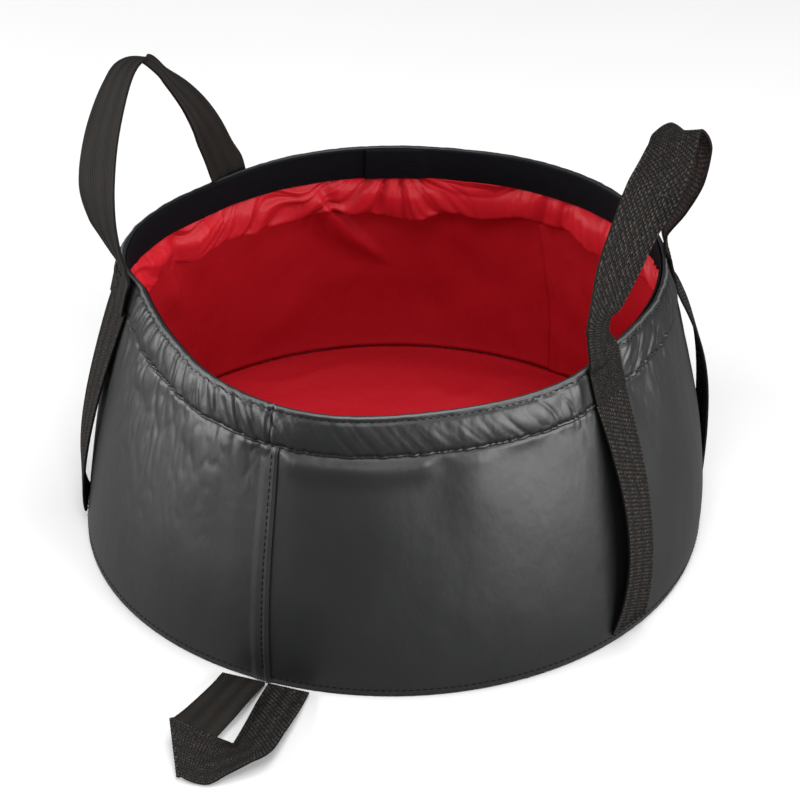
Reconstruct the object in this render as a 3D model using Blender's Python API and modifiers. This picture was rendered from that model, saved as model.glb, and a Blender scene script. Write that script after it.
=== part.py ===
"""Collapsible camp washbasin: a two-layer fabric bowl on a stiffened rim.

Units are metres and +Z is up. The origin is the centre of the underside. The handles stand at -X and +X, and
the front seam and the pull loop are at -Y. Azimuths are degrees anticlockwise from +X.
"""

import math

import bmesh
import bpy
from mathutils import Matrix, Vector

MM = 0.001

# The bowl
BASE_RADIUS = 155 * MM
RIM_HEIGHT = 143 * MM
WALL_TAPER = 1.35
WALL_BULGE = 5.5 * MM
BULGE_HEIGHT = 0.75
SLACK_SIDE = 200
SLACK_SPREAD = 32
SLACK_SHARE = 1.05

# Azimuth, and radius in mm, of the soft rim's outer edge
RIM_PLAN = (
    (-150, 122.5), (-128, 122.5), (-104, 131.5), (-84, 136), (-60, 131.5), (-32, 131.3), (-12, 127),
    (8, 131.6), (34, 136.5), (58, 136), (76, 131.5), (94, 126), (112, 124.5), (146, 125.2), (160, 126.5),
    (174, 131.5), (186, 134.5), (198, 132.5),
)

# Folds of the wall: depth, the shares of its height between which they deepen and fade, and their waves.
# Each wave is how many there are round the bowl, its share of the depth and its phase.
FOLD_DEPTH = 1.1 * MM
FOLDS_DEEPEN = (0.45, 0.8)
FOLDS_FADE = (0.82, 0.87)
FOLD_WAVES = ((13, 0.6, 0.7), (21, 0.4, 2.1))

# The lining's flap, which hangs inwards below the rim's band: depth, waves, and the heights in mm where it
# starts, hangs deepest and ends. Creases pinch it: azimuth, width in degrees and how far each closes it.
FLAP_DEPTH = 9 * MM
FLAP_WAVES = ((7, 0.5, 0.4), (17, 0.3, 2.6), (3, 0.2, 1))
FLAP_HEIGHTS = (80, 107, 122)
BAND_STEP = 1.4 * MM
BAND_STEP_HEIGHTS = (90, 120)
LINING_CREASES = (
    (169, 5, 0.9), (127.5, 5, 0.9), (75, 8, 0.5), (40, 7, 0.6), (8, 7, 0.7), (-30, 6, 0.6), (-62, 8, 0.5),
    (-105, 7, 0.7), (-140, 7, 0.6),
)

# Cloth, tape and the gap between layers
OUTER_FABRIC = 0.6 * MM
LINING_FABRIC = 0.5 * MM
TAPE_THICKNESS = 0.3 * MM
GAP = 0.3 * MM
LINING_DEPTH = OUTER_FABRIC + TAPE_THICKNESS + 2 * GAP

# Seams: each side wall is two half panels, the end of one lapped over the start of the other
OUTER_SEAMS = {"outer_wall_right": -93, "outer_wall_left": 87}
LINING_SEAMS = {"lining_wall_right": -105, "lining_wall_left": 75}
LINING_TAPES = {"lining_front_seam_tape": -105, "lining_rear_seam_tape": 75}
LAP_ANGLE = 2
BASE_TAPE_HEIGHT = 9 * MM
SEAM_TAPE_HEIGHTS = (12 * MM, 117 * MM)

# The rim
CASING_HEIGHT = 18 * MM
CASING_DEPTH = 2.8 * MM
GATHER_DEPTH = 1.7 * MM
GATHER_WAVES = ((37, 0.5, 0), (29, 0.3, 1.9), (11, 0.2, 0))
GATHER_LEAN = 4
HOOP_HEIGHT = 14 * MM
HOOP_THICKNESS = 0.8 * MM
BAND_HEIGHT = 20.3 * MM
BAND_THICKNESS = 1.2 * MM
BAND_END = 105
BAND_LAP_ANGLE = 12

# Webbing
WEBBING_WIDTH = 25 * MM
WEBBING_THICKNESS = 1.3 * MM
STUB_TOP = RIM_HEIGHT + 7 * MM
HINGE_CLEARANCE = 1 * MM
HINGE_HEIGHT = STUB_TOP + HINGE_CLEARANCE
STRAIGHT_END = 6.5 * MM

# The four sewn strap runs: azimuths at the rim and at the foot, how far the free leg bows off the wall, how
# far up it the bow is deepest, and how much further its first edge lifts there
STRAPS = {
    "left_front": (202, 200.5, 6 * MM, 0.3, 0),
    "left_rear": (152, 152, 5 * MM, 0.5, 0),
    "right_front": (-20, -23, 3 * MM, 0.5, 7 * MM),
    "right_rear": (29, 28.5, 6 * MM, 0.66, 0),
}
LEG_BOTTOM = 7 * MM
STRAP_HOLD_ANGLE = 7

# Routes of the handles between their anchors: x, y and z in mm, then the azimuth and the rise in degrees of
# the line across the webbing
LEFT_ROUTE = (
    (-128.3, -51.5, 172, -42, 6), (-133.2, -47, 187.5, -21, 17), (-135.9, -33.7, 206.9, -21, 19),
    (-136.4, -14.1, 224.8, -23, 27), (-133.9, 1, 229.9, -28, 23), (-127, 7.2, 227, -44, -2),
    (-121.8, 15.9, 214, -49, -19), (-118.8, 28.2, 198.2, -61, -31), (-117.6, 39.5, 183, -77, -33),
    (-116.2, 48.5, 169.5, -88, -30),
)
RIGHT_ROUTE = (
    (122.1, -42.7, 168.7, 68, -20), (125.2, -33.8, 186.6, 50, -28), (129.4, -20.8, 205.7, 29, -28),
    (133.2, -9, 220.4, -10, -4), (135.1, 3, 229.8, -12, 13), (134.6, 14.2, 233, -4, 20),
    (137.6, 28.6, 227, -17, -8), (138.2, 40.6, 209.8, -45, -28), (131.2, 52.8, 188.5, -57, -24),
    (123, 62, 169, -72, -14),
)

# The pull loop's two edges in mm, from its left root. Its left leg rises to a diagonal fold, from which it
# turns back over itself and round to its right root, leaning on its inner edge.
PULL_HINGE = Vector((-5, -158.2, 1.3)) * MM
PULL_LEFT_LEG = (
    ((-27, -158.2, 1.3), (-5, -158.2, 1.3)), ((-26.9, -170.4, 3.5), (-5.1, -171.3, 4.2)),
    ((-27.5, -187.4, 7), (-5.8, -189.2, 6)), ((-28.4, -200.3, 9.8), (-8.9, -208.6, 5)),
    ((-30, -208.3, 11), (-14.9, -235.3, 1.2)),
)
PULL_FOLD = ((-30.4, -209.8, 11.9), (-15.4, -236.7, 2.1))
PULL_RIGHT_LEG = (
    ((-29.1, -210.2, 12.8), (-14, -237, 3)), ((-19.9, -211.5, 11.5), (-6.8, -237.7, 2.2)),
    ((-9.1, -211.3, 8.5), (-0.2, -236, 2)), ((-3.3, -208.8, 5), (6.4, -230, 5)),
    ((-1.1, -206.6, 2.5), (14, -222.5, 8)), ((-1.4, -202.4, 1), (20.3, -212, 8.5)),
    ((-2, -188.5, 0.9), (20.6, -194.3, 7.5)), ((-3, -172.9, 0.9), (19.5, -175.8, 4.5)),
    ((-3.2, -158.2, 1.3), (17.5, -158.2, 1.3)),
)

# Resolution: degrees between columns, and heights of the rows that all layers of the wall share
WALL_STEP = 4
CASING_STEP = 3
LEG_STEPS = 12
WALL_ROWS = tuple(height * MM for height in (5, 14, 32, 58, 84, 104, 116))
LINING_ROWS = tuple(height * MM for height in (5, 14, 32, 58, 84, 94, 104, 110, 116))
STEPS_PER_POINT = 4


def clear_scene():
    """Remove the objects of the scene that the script is run in."""
    for obj in list(bpy.data.objects):
        bpy.data.objects.remove(obj, do_unlink=True)


def new_material(name, color, roughness):
    """One Principled material."""
    material = bpy.data.materials.new(name)
    material.use_nodes = True
    shader = material.node_tree.nodes["Principled BSDF"]
    shader.inputs["Base Color"].default_value = (*color, 1)
    shader.inputs["Roughness"].default_value = roughness
    shader.inputs["Metallic"].default_value = 0
    material.diffuse_color = (*color, 1)
    return material


def ease(value, low, high):
    """A smooth step from 0 to 1 as value goes from low to high."""
    share = min(max((value - low) / (high - low), 0), 1)
    return share * share * (3 - 2 * share)


def catmull_rom(before, start, end, after, share):
    """The value share of the way from start to end, on a smooth curve through all four."""
    square = 2 * before - 5 * start + 4 * end - after
    cubic = 3 * start - before - 3 * end + after
    return 0.5 * (2 * start + (end - before) * share + square * share**2 + cubic * share**3)


def rim_radius(azimuth):
    """Radius of the rim's outer edge, smooth all the way round."""
    count = len(RIM_PLAN)
    turned = (azimuth - RIM_PLAN[0][0]) % 360 + RIM_PLAN[0][0]
    index = max(i for i in range(count) if RIM_PLAN[i][0] <= turned)
    start = RIM_PLAN[index][0]
    end = RIM_PLAN[index + 1][0] if index + 1 < count else RIM_PLAN[0][0] + 360
    radii = [RIM_PLAN[(index + k) % count][1] for k in (-1, 0, 1, 2)]
    return catmull_rom(*radii, (turned - start) / (end - start)) * MM


def waves(azimuth, table, turn=0):
    """The sum of a table's waves round the bowl, from -1 to 1, all turned by a phase."""
    angle = math.radians(azimuth)
    return sum(share * math.sin(count * angle + phase + turn) for count, share, phase in table)


def apart(azimuth, other):
    """The angle between two azimuths, from 0 to 180 degrees."""
    return abs((azimuth - other + 180) % 360 - 180)


def wall_folds(azimuth, level):
    """The soft folds that hang from the casing's stitches and are gone by mid-height."""
    depth = FOLD_DEPTH * ease(level, *FOLDS_DEEPEN) * (1 - ease(level, *FOLDS_FADE))
    return depth * waves(azimuth, FOLD_WAVES)


def wall_radius(azimuth, height):
    """Radius of the outer wall's face."""
    level = height / RIM_HEIGHT
    taper = (rim_radius(azimuth) - BASE_RADIUS) * level**WALL_TAPER
    fullness = 1 - SLACK_SHARE * math.exp(-((apart(azimuth, SLACK_SIDE) / SLACK_SPREAD) ** 2))
    bulge = WALL_BULGE * fullness * math.sin(math.pi * level**BULGE_HEIGHT) * max(1 - level, 0) ** 0.2
    return BASE_RADIUS + taper + bulge + wall_folds(azimuth, level)


def gathers(azimuth, share):
    """How far the casing's puckers stand out, share of the way up it. The straps' stitches hold them flat."""
    wave = waves(azimuth, GATHER_WAVES, GATHER_LEAN * share)
    nearest = min(apart(azimuth, strap[0]) for strap in STRAPS.values())
    freedom = ease(nearest, STRAP_HOLD_ANGLE, STRAP_HOLD_ANGLE + 5)
    return GATHER_DEPTH * (0.5 + 0.5 * wave) * freedom * (1 - 0.75 * share**3)


def lining_slack(azimuth, height):
    """How far the lining hangs inwards."""
    start, deepest, end = FLAP_HEIGHTS
    level = height / MM
    closed = max(
        share * math.exp(-((apart(azimuth, crease) / width) ** 2)) for crease, width, share in LINING_CREASES
    )
    fullness = (0.75 + 0.25 * waves(azimuth, FLAP_WAVES)) * (1 - closed)
    hanging = ease(level, start, deepest) * (1 - ease(level, deepest, end))
    return BAND_STEP * ease(level, *BAND_STEP_HEIGHTS) + FLAP_DEPTH * fullness * hanging


def on_wall(azimuth, height, stand_off):
    """A point at a height, stand_off outside the outer wall's face."""
    radius = wall_radius(azimuth, height) + stand_off
    angle = math.radians(azimuth)
    return Vector((radius * math.cos(angle), radius * math.sin(angle), height))


def new_empty(name, location, parent=None):
    """An empty that stands on a joint's axis and carries what moves on it."""
    empty = bpy.data.objects.new(name, None)
    empty.parent = parent
    empty.location = Vector(location) - (parent.location if parent else Vector())
    empty.empty_display_size = 20 * MM
    return empty


def new_sheet(name, rows, thickness, material, carrier=None, closed=False):
    """A sheet lofted through rows of points and thickened evenly to both sides of them.

    A closed sheet joins its last row to its first. The points are in the object's frame, and the sheet's own
    origin is its carrier's.
    """
    home = Vector()
    if carrier:
        home = carrier.location + (carrier.parent.location if carrier.parent else Vector())
    shape = bmesh.new()
    sections = [[shape.verts.new(point - home) for point in row] for row in rows]
    following = sections[1:] + sections[:1] if closed else sections[1:]
    for near, far in zip(sections, following):
        for i in range(len(near) - 1):
            shape.faces.new((near[i], far[i], far[i + 1], near[i + 1]))
    mesh = bpy.data.meshes.new(name)
    shape.to_mesh(mesh)
    shape.free()
    mesh.shade_smooth()
    mesh.materials.append(material)
    sheet = bpy.data.objects.new(name, mesh)
    sheet.parent = carrier
    cloth = sheet.modifiers.new("Cloth thickness", "SOLIDIFY")
    cloth.thickness = thickness
    cloth.offset = 0
    return sheet


def new_disc(name, radius, bottom, thickness, material):
    """A flat round panel, its corners in line with the wall's columns."""
    mesh = bpy.data.meshes.new(name)
    shape = bmesh.new()
    bmesh.ops.create_cone(
        shape,
        cap_ends=True,
        segments=360 // WALL_STEP,
        radius1=radius,
        radius2=radius,
        depth=thickness,
        matrix=Matrix.Rotation(math.radians(OUTER_SEAMS["outer_wall_right"]), 4, "Z"),
    )
    shape.to_mesh(mesh)
    shape.free()
    mesh.materials.append(material)
    disc = bpy.data.objects.new(name, mesh)
    disc.location.z = bottom + thickness / 2
    return disc


def half_wall(name, seam, heights, face, lap, thickness, material):
    """Half of a side wall, whose last columns are lapped over the other half's first.

    face gives the cloth's middle outside the outer wall's face, and lap is the step at the seam.
    """
    columns = [(seam, 0), (seam + LAP_ANGLE, 0)]
    columns += [(seam + angle, 0) for angle in range(WALL_STEP, 180, WALL_STEP)]
    columns += [(seam + 180 - LAP_ANGLE, 0), (seam + 180, lap), (seam + 180 + LAP_ANGLE, lap)]
    rows = [[on_wall(azimuth, z, face(azimuth, z) + step) for z in heights] for azimuth, step in columns]
    return new_sheet(name, rows, thickness, material)


def outer_walls(material):
    """Both halves of the dark outer wall."""
    heights = (OUTER_FABRIC + GAP, *WALL_ROWS, RIM_HEIGHT - CASING_HEIGHT - GAP)
    lap = OUTER_FABRIC + GAP
    return [
        half_wall(name, seam, heights, lambda azimuth, z: -OUTER_FABRIC / 2, lap, OUTER_FABRIC, material)
        for name, seam in OUTER_SEAMS.items()
    ]


def lining_walls(material):
    """Both halves of the lining, from its base up to the lower edge of the rim's band."""
    bottom = OUTER_FABRIC + TAPE_THICKNESS + LINING_FABRIC + 3 * GAP
    heights = (bottom, *LINING_ROWS, RIM_HEIGHT - BAND_HEIGHT - 2 * GAP)
    lap = -(LINING_FABRIC + 1.3 * GAP)
    middle = LINING_DEPTH + LINING_FABRIC / 2

    def face(azimuth, z):
        return -middle - lining_slack(azimuth, z)

    return [
        half_wall(name, seam, heights, face, lap, LINING_FABRIC, material)
        for name, seam in LINING_SEAMS.items()
    ]


def bases(outer, lining):
    """The bottoms of the two layers."""
    lining_bottom = OUTER_FABRIC + TAPE_THICKNESS + 2 * GAP
    return [
        new_disc("outer_base", BASE_RADIUS, 0, OUTER_FABRIC, outer),
        new_disc("lining_base", BASE_RADIUS - LINING_DEPTH, lining_bottom, LINING_FABRIC, lining),
    ]


def seam_tapes(material):
    """The waterproof tapes between the two layers: one round the base seam, and one up each lining seam."""
    middle = OUTER_FABRIC + GAP + TAPE_THICKNESS / 2
    bottom = OUTER_FABRIC + GAP
    start = OUTER_SEAMS["outer_wall_right"]
    around = [
        [on_wall(azimuth, z, -middle) for z in (bottom, WALL_ROWS[0], bottom + BASE_TAPE_HEIGHT)]
        for azimuth in range(start, start + 360, WALL_STEP)
    ]
    tapes = [new_sheet("base_seam_tape", around, TAPE_THICKNESS, material, closed=True)]
    low, high = SEAM_TAPE_HEIGHTS
    heights = [low, *(z for z in WALL_ROWS if low < z < high), high]
    for name, seam in LINING_TAPES.items():
        rows = [
            [on_wall(azimuth, z, -middle) for z in heights]
            for azimuth in (seam - WALL_STEP, seam, seam + WALL_STEP)
        ]
        tapes.append(new_sheet(name, rows, TAPE_THICKNESS, material))
    return tapes


def casing_section(azimuth):
    """The casing's section: up its gathered outer leaf, over the top and down the plain inner one."""
    half = OUTER_FABRIC / 2
    inner = half - CASING_DEPTH
    crest = RIM_HEIGHT - half
    shoulder = crest - 1.1 * MM
    stitches = RIM_HEIGHT - CASING_HEIGHT
    outer_leaf = [
        on_wall(azimuth, stitches + (shoulder - stitches) * share, gathers(azimuth, share) - half)
        for share in (0, 0.5, 1)
    ]
    fold = [on_wall(azimuth, crest, -CASING_DEPTH / 2), on_wall(azimuth, shoulder, inner)]
    return [*outer_leaf, *fold, on_wall(azimuth, stitches, inner)]


def rim_casing(material, carrier):
    """The gathered fold of outer cloth round the rim."""
    rows = [casing_section(azimuth) for azimuth in range(0, 360, CASING_STEP)]
    return new_sheet("rim_casing", rows, OUTER_FABRIC, material, carrier, closed=True)


def rim_hoop(material, carrier):
    """The flat plastic strip that holds the rim open, in the middle of the casing."""
    top = RIM_HEIGHT - CASING_DEPTH
    rows = [
        [on_wall(azimuth, z, -CASING_DEPTH / 2) for z in (top - HOOP_HEIGHT, top)]
        for azimuth in range(0, 360, CASING_STEP)
    ]
    return new_sheet("rim_hoop", rows, HOOP_THICKNESS, material, carrier, closed=True)


def rim_webbing(material, carrier):
    """The ribbed band inside the rim, whose last stretch laps over its first."""
    middle = CASING_DEPTH + GAP + BAND_THICKNESS / 2
    top = RIM_HEIGHT - GAP
    rows = []
    for azimuth in range(BAND_END, BAND_END + 360 + BAND_LAP_ANGLE + 1, CASING_STEP):
        lap = BAND_THICKNESS + GAP if azimuth >= BAND_END + 360 else 0
        rows.append([on_wall(azimuth, z, -middle - lap) for z in (top - BAND_HEIGHT, top)])
    return new_sheet("rim_webbing", rows, BAND_THICKNESS, material, carrier)


def strap_run(name, heights, azimuth, stand_off, material, carrier=None):
    """Webbing that runs up the wall.

    Its azimuth follows from the height. So does how far its middle is off the wall, and it follows from the
    share across, from -1 to 1.
    """
    rows = []
    for z in heights:
        level = min(z, RIM_HEIGHT)
        half_angle = math.degrees(WEBBING_WIDTH / 2 / wall_radius(azimuth(z), level))
        rows.append([
            on_wall(azimuth(z) + half_angle * across, level, stand_off(z, across)) + Vector((0, 0, z - level))
            for across in (-1, -0.5, 0, 0.5, 1)
        ])
    return new_sheet(name, rows, WEBBING_THICKNESS, material, carrier)


def straps(material, rim):
    """The four anchors, stitched to the casing and stiff for a way above it, and the free legs below them."""
    seated = 1.3 * GAP + WEBBING_THICKNESS / 2
    stitches = RIM_HEIGHT - CASING_HEIGHT
    span = stitches - GAP - LEG_BOTTOM
    leg_heights = [LEG_BOTTOM + span * i / LEG_STEPS for i in range(LEG_STEPS + 1)]
    anchor_heights = [stitches + CASING_HEIGHT * i / 3 for i in range(4)] + [STUB_TOP]

    def share(z):
        return (z - LEG_BOTTOM) / span

    pieces = []
    for name, (top, foot, bow, deepest, lift) in STRAPS.items():

        def leaning(z, top=top, foot=foot):
            return foot + (top - foot) * share(z)

        def bowed(z, across, bow=bow, deepest=deepest, lift=lift):
            arch = math.sin(math.pi * max(share(z), 0) ** (math.log(0.5) / math.log(deepest)))
            return seated + arch * (bow + lift * (1 - across) / 2)

        def upright(z, top=top):
            return top

        def flat(z, across):
            return seated

        pieces.append(strap_run(f"{name}_leg", leg_heights, leaning, bowed, material))
        pieces.append(strap_run(f"{name}_anchor", anchor_heights, upright, flat, material, rim))
    return pieces


def anchor_top(strap):
    """Where a handle's hinge axis crosses its anchor."""
    point = on_wall(STRAPS[strap][0], RIM_HEIGHT, GAP + WEBBING_THICKNESS / 2)
    return Vector((point.x, point.y, HINGE_HEIGHT))


def hinge_middle(side):
    """The middle of a handle's hinge axis, which runs from its front anchor to its rear one."""
    return (anchor_top(f"{side}_front") + anchor_top(f"{side}_rear")) / 2


def smooth_route(stations):
    """The stations, with more between them on a smooth curve."""
    padded = [2 * stations[0] - stations[1], *stations, 2 * stations[-1] - stations[-2]]
    smooth = [
        catmull_rom(*padded[i : i + 4], step / STEPS_PER_POINT)
        for i in range(len(padded) - 3)
        for step in range(STEPS_PER_POINT)
    ]
    return [*smooth, stations[-1]]


def webbing_along(name, stations, material, carrier):
    """Webbing swept along stations of x, y, z, and the azimuth and rise of the line across it."""
    route = smooth_route([Vector(station) for station in stations])
    middles = [Vector(station[:3]) * MM for station in route]
    rows = []
    for i, station in enumerate(route):
        along = (middles[min(i + 1, len(route) - 1)] - middles[max(i - 1, 0)]).normalized()
        azimuth, rise = math.radians(station[3]), math.radians(station[4])
        across = Vector(
            (math.cos(azimuth) * math.cos(rise), math.sin(azimuth) * math.cos(rise), math.sin(rise))
        )
        across = (across - across.dot(along) * along).normalized() * WEBBING_WIDTH / 2
        rows.append([middles[i] - across, middles[i], middles[i] + across])
    return new_sheet(name, rows, WEBBING_THICKNESS, material, carrier)


def pull_loop(material, carrier):
    """The loop at the foot of the front seam, with its diagonal fold."""
    edges = [Vector((*outer, *inner)) for outer, inner in PULL_LEFT_LEG]
    lower = smooth_route(edges)
    upper = smooth_route([Vector((*outer, *inner)) for outer, inner in PULL_RIGHT_LEG])
    rows = []
    for pair in [*lower, Vector((*PULL_FOLD[0], *PULL_FOLD[1])), *upper]:
        outer, inner = Vector(pair[:3]) * MM, Vector(pair[3:]) * MM
        rows.append([outer, (outer + inner) / 2, inner])
    return new_sheet("pull_loop", rows, WEBBING_THICKNESS, material, carrier)


def handle(side, route, front_across, material, carrier):
    """A handle loop. Its ends stand straight on the hinge axis and in line with it, and it twists between.

    front_across turns the line across the front end from the direction of the axis, front to rear. The line
    across the rear end runs the other way, rear to front.
    """
    front, rear = anchor_top(f"{side}_front"), anchor_top(f"{side}_rear")
    along_axis = math.degrees(math.atan2(rear.y - front.y, rear.x - front.x))
    ends = []
    for foot, across in ((front, along_axis + front_across), (rear, along_axis - 180)):
        low = (foot.z + HINGE_CLEARANCE) / MM
        ends.append([(foot.x / MM, foot.y / MM, z, across, 0) for z in (low, low + STRAIGHT_END / MM)])
    return webbing_along(f"{side}_handle", [*ends[0], *route, *reversed(ends[1])], material, carrier)


def build():
    """Build the washbasin in its own collection."""
    clear_scene()
    outer = new_material("coated outer fabric", (0.055, 0.057, 0.062), 0.55)
    lining = new_material("red lining", (0.42, 0.012, 0.022), 0.5)
    casing = new_material("gathered casing fabric", (0.06, 0.062, 0.068), 0.5)
    tape = new_material("seam tape", (0.35, 0.35, 0.36), 0.4)
    plastic = new_material("hoop plastic", (0.6, 0.6, 0.58), 0.45)
    band = new_material("black ribbed webbing", (0.006, 0.008, 0.011), 0.75)
    webbing = new_material("strap webbing", (0.022, 0.019, 0.017), 0.85)

    rim = new_empty("rim_slide", (0, 0, RIM_HEIGHT))
    left_hinge = new_empty("left_handle_hinge", hinge_middle("left"), rim)
    right_hinge = new_empty("right_handle_hinge", hinge_middle("right"), rim)
    pull_hinge = new_empty("pull_loop_hinge", PULL_HINGE)

    objects = [rim, left_hinge, right_hinge, pull_hinge]
    objects += bases(outer, lining)
    objects += outer_walls(outer)
    objects += lining_walls(lining)
    objects += seam_tapes(tape)
    objects += [rim_casing(casing, rim), rim_hoop(plastic, rim), rim_webbing(band, rim)]
    objects += straps(webbing, rim)
    objects.append(handle("left", LEFT_ROUTE, -180, webbing, left_hinge))
    objects.append(handle("right", RIGHT_ROUTE, 0, webbing, right_hinge))
    objects.append(pull_loop(webbing, pull_hinge))

    collection = bpy.data.collections.new("Collapsible camp washbasin")
    bpy.context.scene.collection.children.link(collection)
    for obj in objects:
        collection.objects.link(obj)


build()
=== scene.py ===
"""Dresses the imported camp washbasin: its cloth, webbing, seams and thread, in the CAD model's frame.

Units are metres and +Z is up. The front seam and the pull loop are at -Y. Azimuths are degrees
anticlockwise from +X.
"""

from __future__ import annotations

import logging
import math
from collections.abc import Callable, Sequence
from dataclasses import dataclass, field
from enum import Enum
from typing import TypeVar

import bmesh
import bpy
from mathutils import Matrix, Vector, noise


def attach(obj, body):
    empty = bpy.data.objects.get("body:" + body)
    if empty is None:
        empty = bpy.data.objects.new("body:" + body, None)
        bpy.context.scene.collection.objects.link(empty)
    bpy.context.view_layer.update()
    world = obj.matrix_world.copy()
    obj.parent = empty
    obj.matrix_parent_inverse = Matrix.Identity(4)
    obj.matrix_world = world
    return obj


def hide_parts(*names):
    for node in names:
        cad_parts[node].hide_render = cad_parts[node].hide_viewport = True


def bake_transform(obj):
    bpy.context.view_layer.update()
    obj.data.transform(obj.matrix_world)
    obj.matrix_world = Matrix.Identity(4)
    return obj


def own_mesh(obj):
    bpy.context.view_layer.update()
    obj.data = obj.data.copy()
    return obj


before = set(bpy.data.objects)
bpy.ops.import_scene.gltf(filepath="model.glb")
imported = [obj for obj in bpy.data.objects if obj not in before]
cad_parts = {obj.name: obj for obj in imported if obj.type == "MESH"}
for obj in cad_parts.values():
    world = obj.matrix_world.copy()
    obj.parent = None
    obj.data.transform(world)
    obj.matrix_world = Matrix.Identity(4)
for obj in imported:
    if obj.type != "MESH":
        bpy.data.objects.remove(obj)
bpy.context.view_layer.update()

LOG = logging.getLogger("washbasin")
MM = 0.001

Place = Callable[[float, float], Vector]
Table = Sequence[tuple[float, float]]
Point = tuple[float, float, float]
Color = tuple[float, float, float]
Stations = Sequence[tuple[float, float, float, float, float]]
Value = TypeVar("Value", float, Vector)


def smoothstep(value: float) -> float:
    """Ease from 0 to 1 as value goes from 0 to 1."""
    value = min(max(value, 0.0), 1.0)
    return value * value * (3 - 2 * value)


def catmull_rom(before: Value, start: Value, end: Value, after: Value, share: float) -> Value:
    """The value share of the way from start to end, on a smooth curve through all four.

    Args:
        before: The value ahead of start.
        start: The value at share 0.
        end: The value at share 1.
        after: The value behind end.
        share: From 0 to 1.

    Returns:
        The value, a number or a vector as the others are.
    """
    square = 2 * before - 5 * start + 4 * end - after
    cubic = 3 * start - before - 3 * end + after
    return 0.5 * (2 * start + (end - before) * share + square * share**2 + cubic * share**3)


def around(azimuth: float, table: Table) -> float:
    """A value that changes smoothly round the bowl.

    Args:
        azimuth: Degrees.
        table: Azimuths in rising order, each with its value.

    Returns:
        The value at the azimuth.
    """
    count = len(table)
    turned = (azimuth - table[0][0]) % 360 + table[0][0]
    index = max(i for i in range(count) if table[i][0] <= turned)
    start = table[index][0]
    end = table[index + 1][0] if index + 1 < count else table[0][0] + 360
    values = [table[(index + k) % count][1] for k in (-1, 0, 1, 2)]
    return catmull_rom(*values, (turned - start) / (end - start))


def turned_apart(azimuth: float, other: float) -> float:
    """The angle between two azimuths, from 0 to 180 degrees."""
    return abs((azimuth - other + 180) % 360 - 180)


def polar(radius: float, azimuth: float, height: float = 0.0) -> Vector:
    """The point at a radius, an azimuth and a height."""
    angle = math.radians(azimuth)
    return Vector((radius * math.cos(angle), radius * math.sin(angle), height))


def heading(azimuth: float, rise: float) -> Vector:
    """The direction at an azimuth, rise degrees above level."""
    tilt = math.radians(rise)
    return polar(math.cos(tilt), azimuth, math.sin(tilt))


def measured(line: Sequence[Vector]) -> list[float]:
    """How far along a line each of its points is."""
    lengths = [0.0]
    for near, far in zip(line, line[1:]):
        lengths.append(lengths[-1] + (far - near).length)
    return lengths


def drift(azimuth: float, height: float, grain: float, tall: float, seed: float) -> float:
    """Smooth noise on the wall, about -1 to 1.

    Args:
        azimuth: Degrees.
        height: Metres.
        grain: How many changes there are in a radian round the wall.
        tall: How many changes there are in a metre of height.
        seed: Picks one of many patterns.

    Returns:
        The noise.
    """
    side = polar(grain, azimuth)
    return noise.noise(Vector((side.x, side.y, height * tall + seed)))


def pleats(phase: float) -> float:
    """Round folds with sharp valleys between them, from 0 to 1, one for each unit of phase."""
    return abs(math.sin(math.pi * phase)) ** 0.8


def puckers(azimuth: float, height: float, grain: float, tall: float, seed: float) -> float:
    """Irregular folds with sharp valleys between them, from 0 to 1. The arguments are those of drift."""
    return min(1.0, abs(drift(azimuth, height, grain, tall, seed)) * 2.4) ** 0.75


def window(value: float, low: float, high: float, edge: float) -> float:
    """1 between low and high, easing to 0 over an edge outside them."""
    return smoothstep((value - low) / edge + 1) * smoothstep((high - value) / edge + 1)


def bell(value: float, width: float) -> float:
    """1 where value is 0, falling to 0 some two widths away on either side."""
    return math.exp(-((value / width) ** 2))


class Wire:
    """A shader socket's value, on which Python's operators add Math nodes."""

    def __init__(self, bench: Bench, socket: bpy.types.NodeSocket) -> None:
        """Wrap an output socket of one of the bench's nodes."""
        self.bench = bench
        self.socket = socket

    def __add__(self, other: Wire | float) -> Wire:
        """Add."""
        return self.bench.maths("ADD", self, other)

    def __mul__(self, other: Wire | float) -> Wire:
        """Multiply."""
        return self.bench.maths("MULTIPLY", self, other)

    def __sub__(self, other: Wire | float) -> Wire:
        """Subtract."""
        return self.bench.maths("SUBTRACT", self, other)

    def __rsub__(self, other: Wire | float) -> Wire:
        """Subtract from a number."""
        return self.bench.maths("SUBTRACT", other, self)

    def __truediv__(self, other: Wire | float) -> Wire:
        """Divide."""
        return self.bench.maths("DIVIDE", self, other)

    def clipped(self) -> Wire:
        """Hold between 0 and 1."""
        return self.bench.maths("MINIMUM", self.bench.maths("MAXIMUM", self, 0.0), 1.0)


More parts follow.
